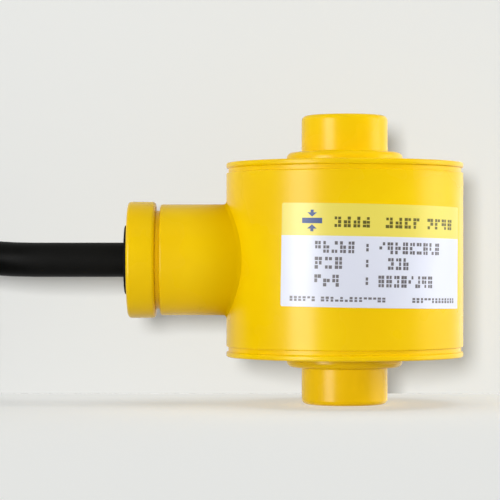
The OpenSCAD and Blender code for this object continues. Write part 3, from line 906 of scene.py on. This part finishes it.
class PrintTree:
    """Geometry node tree that lays a line of greeked letters, each a few small blocks, on a round wall."""

    INPUTS = {
        "Letters": ("NodeSocketInt", 10), "Span": (FLOAT, 0.01),
        "Cell columns": ("NodeSocketInt", 2), "Cell rows": ("NodeSocketInt", 3),
        "Cell width": (FLOAT, 0.001), "Cell height": (FLOAT, 0.002),
        "Block": (FLOAT, 0.001), "Block height": (FLOAT, 0.002), "Kept": (FLOAT, 0.85),
        "Seed": ("NodeSocketInt", 1), "Radius": (FLOAT, 0.0275), "Turn": (FLOAT, 0.0),
        "Label turn": (FLOAT, 0.0), "Lean": (FLOAT, 0.0), "Rise": (FLOAT, 0.0), "Level": (FLOAT, 0.03),
        "Film": (FLOAT, 0.00001), "Ink": ("NodeSocketMaterial", None)}

    def __init__(self) -> None:
        """Builds the tree."""
        draft = group_draft("Printed line", "GeometryNodeTree", self.INPUTS, {"Geometry": "NodeSocketGeometry"})
        source = draft.add("NodeGroupInput").outputs
        line = draft.add("GeometryNodeMeshGrid", {"Size X": source["Span"], "Size Y": 0.0,
                                                  "Vertices X": source["Letters"], "Vertices Y": 1})
        cell = draft.add("GeometryNodeMeshGrid", {
            "Size X": source["Cell width"], "Size Y": source["Cell height"],
            "Vertices X": source["Cell columns"], "Vertices Y": source["Cell rows"]})
        cells = draft.add("GeometryNodeInstanceOnPoints", {"Points": line.outputs[0], "Instance": cell.outputs[0]})
        spots = draft.add("GeometryNodeRealizeInstances", {0: cells.outputs[0]})
        size = draft.add("ShaderNodeCombineXYZ", {0: source["Block"], 1: source["Block height"], 2: source["Film"]})
        block = draft.add("GeometryNodeMeshCube", {"Size": size.outputs[0], "Vertices X": 3})
        keep = draft.add("FunctionNodeRandomValue", {"Probability": source["Kept"], "Seed": source["Seed"]},
                         data_type="BOOLEAN")
        vary = draft.add("FunctionNodeRandomValue", {0: (0.7, 0.8, 1.0), 1: (1.0, 1.0, 1.0),
                                                     "Seed": source["Seed"]}, data_type="FLOAT_VECTOR")
        placed = draft.add("GeometryNodeInstanceOnPoints", {
            "Points": spots.outputs[0], "Instance": block.outputs["Mesh"],
            "Selection": keep.outputs[3], "Scale": vary.outputs[0]})
        real = draft.add("GeometryNodeRealizeInstances", {0: placed.outputs[0]})
        at = draft.add("ShaderNodeSeparateXYZ", {0: draft.add("GeometryNodeInputPosition").outputs[0]}).outputs
        up = draft.math("ADD", at[1], source["Rise"])
        across = draft.math("ADD", at[0], draft.math("MULTIPLY", up, source["Lean"]))
        local = draft.math("ADD", draft.math("DIVIDE", across, source["Radius"]), source["Turn"])
        angle = draft.math("ADD", local, source["Label turn"])
        out = draft.math("ADD", source["Radius"], at[2])
        x = draft.math("MULTIPLY", out, draft.math("SINE", angle))
        y = draft.math("MULTIPLY", draft.math("MULTIPLY", out, draft.math("COSINE", angle)), -1.0)
        drop = draft.math("MULTIPLY", draft.math("MULTIPLY", out, draft.math("SINE", local)), source["Lean"])
        z = draft.math("SUBTRACT", draft.math("ADD", up, source["Level"]), drop)
        wrapped = draft.add("GeometryNodeSetPosition", {
            "Geometry": real.outputs[0],
            "Position": draft.add("ShaderNodeCombineXYZ", {0: x, 1: y, 2: z}).outputs[0]})
        inked = draft.add("GeometryNodeSetMaterial", {"Geometry": wrapped.outputs[0], "Material": source["Ink"]})
        draft.add("NodeGroupOutput", {"Geometry": inked.outputs[0]})
        self.tree = draft.tree

    def make(self, name: str, values: dict[str, object]) -> bpy.types.Mesh:
        """Runs the tree once and keeps the result as a plain mesh.

        Args:
            name: the mesh's name.
            values: input name to its value.

        Returns:
            The mesh.
        """
        carrier = bpy.data.objects.new(name + "_carrier", bpy.data.meshes.new(name))
        bpy.context.scene.collection.objects.link(carrier)
        modifier = carrier.modifiers.new("Printed line", "NODES")
        modifier.node_group = self.tree
        for item in self.tree.interface.items_tree:
            if item.in_out == "INPUT" and item.name in values:
                modifier[item.identifier] = values[item.name]
        evaluated = carrier.evaluated_get(bpy.context.evaluated_depsgraph_get())
        mesh = bpy.data.meshes.new_from_object(evaluated)
        carrier.modifiers.remove(modifier)
        bpy.data.objects.remove(carrier)
        return mesh


@dataclass(frozen=True)
class PrintedLine:
    """One line of greeked print; lengths in millimetres from the label's lower left corner."""

    left: float
    right: float
    middle: float
    letters: int
    height: float = 2.8
    columns: int = 2
    rows: int = 3
    kept: float = 0.8
    seed: int = 1


@dataclass
class Label:
    """Film label wrapped on the housing, leaning a little, with generic print."""

    layout: Layout
    width: float = 47.5
    height: float = 23.0
    film: float = 0.15
    turn: float = 16.5
    lean: float = 1.1
    corner: float = 0.45
    band: float = 7.2
    ink: float = 0.02
    heading: tuple[PrintedLine, ...] = (
        PrintedLine(12.2, 20.2, 18.9, 4, 2.5, seed=5), PrintedLine(23.7, 32.4, 18.9, 4, 2.5, seed=6),
        PrintedLine(34.6, 43.8, 18.9, 4, 2.5, seed=7))
    lines: tuple[PrintedLine, ...] = (
        PrintedLine(8.0, 16.9, 13.3, 5, seed=3), PrintedLine(22.3, 38.7, 13.3, 9, seed=8),
        PrintedLine(8.0, 14.3, 9.8, 3, seed=4), PrintedLine(24.4, 29.6, 9.8, 3, seed=9),
        PrintedLine(8.0, 13.6, 5.9, 3, seed=2), PrintedLine(22.2, 36.5, 5.9, 8, seed=10),
        PrintedLine(19.4, 20.0, 13.3, 1, 1.9, 1, 2, 1.0), PrintedLine(19.4, 20.0, 9.8, 1, 1.9, 1, 2, 1.0),
        PrintedLine(19.4, 20.0, 5.9, 1, 1.9, 1, 2, 1.0),
        PrintedLine(2.2, 24.1, 1.8, 21, 1.2, 1, 2, seed=11),
        PrintedLine(30.6, 45.2, 1.8, 13, 1.2, 1, 2, seed=12))

    @property
    def slope(self) -> float:
        """Drop of the label's lines over their length."""
        return math.tan(math.radians(self.lean))

    @property
    def level(self) -> float:
        """Height of the label's middle."""
        return (self.layout.label_low + self.layout.label_high) / 2

    def wrapped(self, across: float, up: float, out: float) -> Vector:
        """Place on the wall of a point of the flat label, measured from its middle."""
        radius = self.layout.housing_r + out
        local = (across + up * self.slope) / self.layout.housing_r
        angle = math.radians(self.turn) + local
        return metres((radius * math.sin(angle), -radius * math.cos(angle),
                       self.level + up - radius * math.sin(local) * self.slope))

    def finish(self) -> LabelFinish:
        """Glossy film whose band follows the label's lean."""
        turn, lean = math.radians(self.turn), math.radians(self.lean)
        upward = (math.sin(lean) * math.cos(turn), math.sin(lean) * math.sin(turn), math.cos(lean))
        edge = self.level * math.cos(lean) + self.height / 2 - self.band
        return LabelFinish("label_film", linear(219, 222, 236), linear(216, 219, 234), roughness=(0.32, 0.36),
                           specular=0.3, wave_scale=300.0, wave_strength=0.05, wave_depth=0.02 * MM,
                           band=linear(229, 213, 92), band_from=edge * MM, upward=upward)

    def sheet(self) -> bpy.types.Object:
        """The film itself, with rounded corners."""
        half_w, half_h, c = self.width / 2, self.height / 2, self.corner
        edge = [c * (1 - math.cos(math.radians(90 * i / 6))) for i in range(7)]
        across = [-half_w + e for e in edge] + [half_w * (i / 24 - 1) for i in range(2, 47)]
        across += [half_w - e for e in reversed(edge)]
        rows = []
        for u in across:
            into = max(0.0, abs(u) - (half_w - c))
            limit = half_h - c + math.sqrt(max(0.0, c * c - into * into))
            up = [limit * (2 * k / 8 - 1) for k in range(9)]
            rows.append([self.wrapped(u, v, self.film) for v in up]
                        + [self.wrapped(u, v, 0.01) for v in reversed(up)])
        work = skin(rows, closed_rows=False)
        work.verts.ensure_lookup_table()
        ring = len(rows[0])
        for start in (0, (len(rows) - 1) * ring):
            for k in range(ring // 2 - 1):
                corners = [start + k, start + k + 1, start + ring - 2 - k, start + ring - 1 - k]
                work.faces.new([work.verts[i] for i in corners])
        return mesh_piece("label_film", work)

    def pictogram(self) -> bpy.types.Object:
        """Plain sign for a pressed block: two arrows that point at a bar."""
        left, base, w, step = 5.0, 16.7, 4.6, 0.4
        bar = [(0, 1.8), (w, 1.8), (w, 3.0), (0, 3.0)]
        arrow = [(w / 2 - 0.35, 0), (w / 2 + 0.35, 0), (w / 2 + 0.35, 0.6), (w / 2 + 1.1, 0.6), (w / 2, 1.55),
                 (w / 2 - 1.1, 0.6), (w / 2 - 0.35, 0.6)]
        work = bmesh.new()
        for shape in (bar, arrow, [(x, 4.8 - y) for x, y in reversed(arrow)]):
            work.faces.new([work.verts.new((x, y, 0.0)) for x, y in shape])
        for k in range(1, int(w / step)):
            bmesh.ops.bisect_plane(work, geom=work.verts[:] + work.edges[:] + work.faces[:],
                                   plane_co=(k * step + 0.01, 0, 0), plane_no=(1, 0, 0))
        raised = bmesh.ops.extrude_face_region(work, geom=work.faces[:], use_keep_orig=True)["geom"]
        upper = {v for v in raised if isinstance(v, bmesh.types.BMVert)}
        for v in work.verts:
            across, up = left + v.co.x - self.width / 2, base + v.co.y - self.height / 2
            v.co = self.wrapped(across, up, self.film + (self.ink if v in upper else -0.01))
        return mesh_piece("label_sign", work)

    def printed(self, name: str, lines: tuple[PrintedLine, ...], ink: bpy.types.Material,
                tree: PrintTree) -> bpy.types.Object:
        """Joins lines of greeked print into one piece.

        Args:
            name: the piece's name.
            lines: the lines.
            ink: their material.
            tree: the tree that lays them.

        Returns:
            The piece.
        """
        work = bmesh.new()
        for line in lines:
            pitch = (line.right - line.left) / (line.letters - 0.22)
            letter = 0.78 * pitch
            block, block_height = letter / line.columns, line.height / line.rows
            middle = (line.left + line.right) / 2 - self.width / 2
            mesh = tree.make(name, {
                "Letters": line.letters, "Span": pitch * (line.letters - 1) * MM,
                "Cell columns": line.columns, "Cell rows": line.rows,
                "Cell width": (letter - block) * MM, "Cell height": (line.height - block_height) * MM,
                "Block": 0.94 * block * MM, "Block height": 0.88 * block_height * MM, "Kept": line.kept,
                "Seed": line.seed, "Radius": (self.layout.housing_r + self.film + self.ink / 2) * MM,
                "Turn": middle / self.layout.housing_r, "Label turn": math.radians(self.turn),
                "Lean": self.slope, "Rise": (line.middle - self.height / 2) * MM, "Level": self.level * MM,
                "Film": self.ink * MM, "Ink": ink})
            work.from_mesh(mesh)
            bpy.data.meshes.remove(mesh)
        joined = bpy.data.meshes.new(name)
        work.to_mesh(joined)
        work.free()
        return bpy.data.objects.new(name, joined)

    def build(self, bench: Bench, tree: PrintTree) -> None:
        """Makes the film and its print and hands them to the bench."""
        bench.add(self.sheet(), "label_film", ("label",))
        bench.add(self.pictogram(), "label_film", look="sign_ink")
        for name, lines, look in (("label_heading", self.heading, "heading_ink"),
                                  ("label_lines", self.lines, "label_ink")):
            bench.add(self.printed(name, lines, bench.finishes[look], tree), "label_film", look=look)


class ShinesOn(Enum):
    """What a lamp lights."""

    EVERYTHING = "everything"
    OBJECT = "object"
    FLOOR = "floor"
    BACKDROP = "backdrop"


@dataclass(frozen=True)
class Lamp:
    """Soft rectangular lamp, placed by direction from the load cell's middle."""

    name: str
    azimuth: float
    elevation: float
    distance: float
    width: float
    height: float
    power: float
    diffuse: bool = True
    glossy: bool = True
    shines_on: ShinesOn = ShinesOn.EVERYTHING


@dataclass
class Studio:
    """Camera, lamps, world and the pale floor and backdrop."""

    camera_x: float = -22.0
    camera_distance: float = 526.0
    horizon: float = 33.5
    focal_pixels: float = 2261.0
    frame_pixels: float = 500.0
    horizon_below_centre: float = 9.8
    sensor: float = 36.0
    reach: float = 1500.0
    wall_y: float = 40.0
    world_light: float = 0.32
    pale: Colour = field(default_factory=lambda: linear(231, 232, 230))
    lamps: tuple[Lamp, ...] = (
        Lamp("key_light", -6.5, 3.7, 950, 120, 120, 3.25, glossy=False, shines_on=ShinesOn.OBJECT),
        Lamp("top_fill", -6.0, 62.0, 1200, 500, 500, 1.7, glossy=False, shines_on=ShinesOn.OBJECT),
        Lamp("backdrop_light", -6.5, 3.7, 950, 120, 120, 11.6, glossy=False, shines_on=ShinesOn.BACKDROP),
        Lamp("floor_light", 0.0, 88.0, 1500, 1100, 1100, 7.5, glossy=False, shines_on=ShinesOn.FLOOR),
        Lamp("left_fill", -57.0, 2.0, 1200, 320, 600, 4.4, glossy=False, shines_on=ShinesOn.OBJECT),
        Lamp("upper_left_fill", -88.0, 34.0, 1200, 500, 560, 2.8, glossy=False, shines_on=ShinesOn.OBJECT),
        Lamp("left_softbox", -44.0, 0.0, 1200, 520, 1100, 27.0, diffuse=False),
        Lamp("right_fill", 92.0, 18.0, 1200, 600, 700, 12.4, glossy=False, shines_on=ShinesOn.OBJECT),
        Lamp("right_softbox", 91.0, 0.0, 1200, 900, 1200, 8.0, diffuse=False),
        Lamp("right_back_light", 135.0, 0.0, 1200, 1000, 1200, 3.5, diffuse=False),
    )

    sheets: dict[ShinesOn, bpy.types.Object] = field(default_factory=dict)

    def camera(self) -> None:
        """Level camera at mid-height, as the photograph was taken."""
        data = bpy.data.cameras.new("photo_camera")
        data.sensor_width = self.sensor
        data.lens = self.focal_pixels / self.frame_pixels * self.sensor
        data.shift_y = self.horizon_below_centre / self.frame_pixels
        data.clip_start, data.clip_end = 0.01, 20.0
        camera = bpy.data.objects.new("photo_camera", data)
        camera.location = metres((self.camera_x, -self.camera_distance, self.horizon))
        camera.rotation_euler = (math.pi / 2, 0, 0)
        bpy.context.scene.collection.objects.link(camera)
        bpy.context.scene.camera = camera
        log.info("camera: %.0f mm lens", data.lens)

    def seen(self, draft: Draft) -> bpy.types.NodeSocket:
        """Mask of the rays that show the background as it is: camera, glossy and transmission."""
        ray = draft.add("ShaderNodeLightPath").outputs
        mirrored = draft.math("MAXIMUM", ray["Is Glossy Ray"], ray["Is Transmission Ray"])
        return draft.math("MAXIMUM", ray["Is Camera Ray"], mirrored)

    def surface(self, name: str, glow: float, share: float, fill: float = 0.0,
                backdrop: bool = False) -> bpy.types.Material:
        """Pale surface that glows in part and takes shadows in part; reflections show the world instead.

        Args:
            name: the material's name.
            glow: part of the pale colour that it shows without light.
            share: part of the pale colour that it shows by light.
            fill: part of the pale colour that it gives to its surroundings.
            backdrop: whether it is clear from behind and gives nothing to its surroundings.

        Returns:
            The material.
        """
        made = bpy.data.materials.new(name)
        made.use_nodes = True
        draft = Draft(made.node_tree)
        draft.tree.nodes.remove(draft.tree.nodes["Principled BSDF"])
        strength = draft.math("ADD", fill, draft.math("MULTIPLY", self.seen(draft), glow - fill))
        shining = draft.add("ShaderNodeEmission", {"Color": (*self.pale, 1), "Strength": strength})
        matt = draft.add("ShaderNodeBsdfDiffuse", {"Color": (*[share * c for c in self.pale], 1)})
        shown = draft.add("ShaderNodeAddShader", {0: shining.outputs[0], 1: matt.outputs[0]}).outputs[0]
        ray = draft.add("ShaderNodeLightPath").outputs
        gone = draft.math("MAXIMUM", ray["Is Shadow Ray"], ray["Is Glossy Ray"])
        if backdrop:
            back = draft.add("ShaderNodeNewGeometry").outputs["Backfacing"]
            gone = draft.math("MAXIMUM", gone, draft.math("MAXIMUM", back, ray["Is Diffuse Ray"]))
        clear = draft.add("ShaderNodeBsdfTransparent").outputs[0]
        mixed = draft.add("ShaderNodeMixShader", {0: gone, 1: shown, 2: clear}).outputs[0]
        draft.tree.links.new(mixed, draft.tree.nodes["Material Output"].inputs["Surface"])
        return made

    def sheet(self, name: str, corners: tuple[Point, ...],
              material: bpy.types.Material) -> bpy.types.Object:
        """Flat sheet of the stage between four corners in millimetres."""
        work = bmesh.new()
        work.faces.new([work.verts.new(metres(p)) for p in corners])
        mesh = bpy.data.meshes.new(name)
        work.to_mesh(mesh)
        work.free()
        piece = bpy.data.objects.new(name, mesh)
        piece.data.materials.append(material)
        bpy.context.scene.collection.objects.link(piece)
        return piece

    def stage(self) -> None:
        """Floor all round and a backdrop close behind that is clear from its back."""
        r, y, foot = self.reach, self.wall_y, 0.02
        self.sheets[ShinesOn.FLOOR] = self.sheet(
            "studio_floor", ((-r, -r, 0), (r, -r, 0), (r, r, 0), (-r, r, 0)),
            self.surface("studio_floor", glow=0.6, share=0.7, fill=0.23))
        self.sheets[ShinesOn.BACKDROP] = self.sheet(
            "studio_backdrop", ((-r, y, foot), (r, y, foot), (r, y, r), (-r, y, r)),
            self.surface("studio_backdrop", glow=0.28, share=0.48, backdrop=True))

    def linking(self, lit: ShinesOn) -> bpy.types.Collection:
        """Light-linking collection that names one sheet, or leaves out both where only the object is lit.

        Args:
            lit: what the lamp lights.

        Returns:
            The collection, which stays outside the scene.
        """
        group = bpy.data.collections.new(f"lit_{lit.value}")
        for piece in [self.sheets[lit]] if lit in self.sheets else self.sheets.values():
            group.objects.link(piece)
        for entry in group.collection_objects:
            entry.light_linking.link_state = "INCLUDE" if lit in self.sheets else "EXCLUDE"
        return group

    def light(self) -> None:
        """Places the lamps and sets the world."""
        receivers = {lit: self.linking(lit) for lit in ShinesOn if lit is not ShinesOn.EVERYTHING}
        for lamp in self.lamps:
            data = bpy.data.lights.new(lamp.name, "AREA")
            data.shape = "RECTANGLE"
            data.size, data.size_y = lamp.width * MM, lamp.height * MM
            data.energy = lamp.power
            made = bpy.data.objects.new(lamp.name, data)
            turn, lift = math.radians(lamp.azimuth), math.radians(lamp.elevation)
            out = Vector((math.sin(turn) * math.cos(lift), -math.cos(turn) * math.cos(lift), math.sin(lift)))
            made.location = metres((0, 0, self.horizon)) + out * lamp.distance * MM
            made.rotation_mode = "QUATERNION"
            made.rotation_quaternion = (-out).to_track_quat("-Z", "Y")
            made.visible_camera, made.visible_diffuse, made.visible_glossy = False, lamp.diffuse, lamp.glossy
            if lamp.shines_on in receivers:
                made.light_linking.receiver_collection = receivers[lamp.shines_on]
            bpy.context.scene.collection.objects.link(made)
        world = bpy.data.worlds.new("studio_world")
        bpy.context.scene.world = world
        world.use_nodes = True
        draft = Draft(world.node_tree)
        backdrop = draft.tree.nodes["Background"]
        backdrop.inputs["Color"].default_value = (*self.pale, 1)
        shown = draft.math("MULTIPLY", self.seen(draft), 1 - self.world_light)
        strength = draft.math("ADD", self.world_light, shown)
        draft.tree.links.new(strength, backdrop.inputs["Strength"])
        bpy.context.scene.view_settings.view_transform = "Standard"


def finishes(layout: Layout, label: Label) -> dict[str, bpy.types.Material]:
    """Builds every finish.

    Args:
        layout: the load cell's main sizes.
        label: the label, which gives its own finish.

    Returns:
        Material slot to its material.
    """
    effects = SharedEffects()
    yellow, deep = linear(243, 203, 0), linear(238, 194, 0)
    enamel = {"colour": yellow, "worn": deep, "roughness": (0.24, 0.29), "specular": 0.12,
              "wave_scale": 500.0, "wave_strength": 0.08, "wave_depth": 0.04 * MM, "drift_scale": 40.0}
    soft = {"wave_scale": 1800.0, "wave_strength": 0.25, "wave_depth": 0.05 * MM}
    core = {"roughness": (0.35, 0.45), **soft}
    ink = {"roughness": (0.3, 0.4), "specular": 0.3}
    inside = 0.2
    rubber = {"colour": linear(13, 13, 12), "worn": linear(19, 19, 18), "specular": 0.04, **soft}
    made = [
        Finish("yellow_enamel", **enamel),
        ColumnFinish("column_enamel", low=(layout.lid_low + inside) * MM,
                     high=(layout.lid_high - inside) * MM, **enamel),
        # the port's enamel carries painted shade towards its seam with the housing
        SeamShadeFinish("port_enamel_painted_shade", seam=linear(214, 172, 0), wall_r=layout.housing_r, **enamel),
        Finish("black_rubber", roughness=(0.55, 0.7), **rubber),
        Finish("cable_jacket", roughness=(0.42, 0.55), **rubber),
        Finish("shrink_sleeve", roughness=(0.35, 0.5), **rubber),
        StrapFinish("tie_strap", linear(40, 40, 43), linear(52, 52, 55), roughness=(0.8, 0.9)),
        label.finish(),
        Finish("label_ink", linear(100, 96, 100), linear(110, 106, 110), **ink),
        Finish("heading_ink", linear(94, 86, 30), linear(104, 95, 36), **ink),
        Finish("sign_ink", linear(72, 90, 138), linear(78, 96, 144), **ink | {"specular": 0.15}),
        Finish("washer_brass", linear(205, 165, 85), linear(190, 150, 70), roughness=(0.25, 0.4), metallic=1.0),
        Finish("tinned_copper", linear(215, 212, 203), linear(190, 186, 176), roughness=(0.2, 0.35), metallic=1.0),
        Finish("board_laminate", linear(30, 100, 55), linear(26, 86, 48), roughness=(0.35, 0.5)),
        Finish("resistor_glaze", linear(80, 125, 180), linear(70, 112, 165), roughness=(0.15, 0.25), coat=0.5),
        Finish("gauge_film", linear(200, 138, 60), linear(185, 122, 48), roughness=(0.2, 0.3)),
        Finish("strip_laminate", linear(215, 190, 105), linear(200, 172, 90), roughness=(0.4, 0.5)),
        Finish("wire_enamel", linear(170, 66, 40), linear(150, 55, 34), roughness=(0.2, 0.3)),
        Finish("core_red", linear(180, 32, 28), linear(165, 28, 25), **core),
        Finish("core_black", linear(26, 26, 26), linear(34, 34, 34), **core),
        Finish("core_green", linear(30, 122, 60), linear(27, 108, 53), **core),
        Finish("core_white", linear(232, 230, 222), linear(222, 219, 210), **core),
    ]
    return {finish.slot: finish.material(effects) for finish in made}


INNER_FINISHES = {
    "cap_sealing_ring": "black_rubber", "thrust_washer": "washer_brass", "terminal_board": "board_laminate",
    "solder_posts": "tinned_copper", "span_resistor": "resistor_glaze", "zero_resistor": "resistor_glaze",
    "bridge_jumpers": "wire_enamel", "bridge_leads": "wire_enamel", "gland_cable": "cable_jacket",
}


def main() -> None:
    """Builds the scene: camera and cable first, then the load cell, its label and the studio."""
    logging.basicConfig(level=logging.INFO, format="%(name)s: %(message)s")
    studio = Studio()
    studio.camera()
    layout = Layout.read()
    label = Label(layout)
    bench = Bench(finishes(layout, label))
    cable = Cable()
    cord = cable.build(bench)
    on_cord = CableEnd(cable).build(bench)
    turning = Turning(port_z=layout.mid)
    Canister(layout, turning).build(bench)
    Gland(layout, turning).build(bench)
    label.build(bench, PrintTree())
    for node, slot in INNER_FINISHES.items():
        bench.dress(node, slot)
    for colour in ("red", "black", "green", "white"):
        bench.dress(f"inner_core_{colour}", f"core_{colour}")
    for side in ("front", "back", "port_side", "far_side"):
        bench.dress(f"strain_gauge_{side}", "gauge_film")
        bench.dress(f"terminal_strip_{side}", "strip_laminate")
    studio.stage()
    studio.light()


if __name__ == "__main__":
    main()
